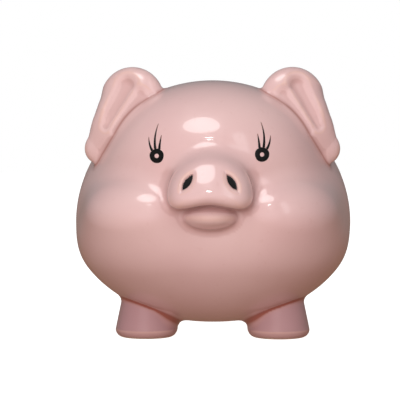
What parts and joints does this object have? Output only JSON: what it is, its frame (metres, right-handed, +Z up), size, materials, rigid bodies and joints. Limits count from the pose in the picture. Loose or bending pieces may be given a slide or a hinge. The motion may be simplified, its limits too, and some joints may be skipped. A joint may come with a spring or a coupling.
{
  "type": "ceramic piggy bank",
  "caption": "Round glazed ceramic pig money box with folded ears, raised snout, stub feet, curled tail, painted eyes, a coin slot in the back and a pull-out belly stopper.",
  "frame": {"origin": "middle of the footprint, on the surface that the feet stand on", "axes": "+Z up, -Y the way the pig faces, +X to the right of someone who faces the pig"},
  "size_m": [0.1408, 0.154, 0.1368],
  "materials": {
    "glaze": "gloss",
    "paint": "gloss",
    "stopper": "satin"
  },
  "bodies": {
    "pig": {"body_shell": "glaze", "snout": "glaze", "lower_lip": "glaze", "ear_left": "glaze", "ear_right": "glaze", "foot_front_left": "glaze", "foot_front_right": "glaze", "foot_rear_left": "glaze", "foot_rear_right": "glaze", "tail": "glaze", "eye_left": "paint", "eye_right": "paint", "lashes_left": "paint", "lashes_right": "paint", "nostril_left": "paint", "nostril_right": "paint"},
    "stopper": {"stopper": "stopper"}
  },
  "joints": [
    {"name": "stopper_pull", "type": "slide", "parent": "pig", "child": "stopper", "axis": [0, 0, -1], "range_m": [0, 0.025]}
  ]
}
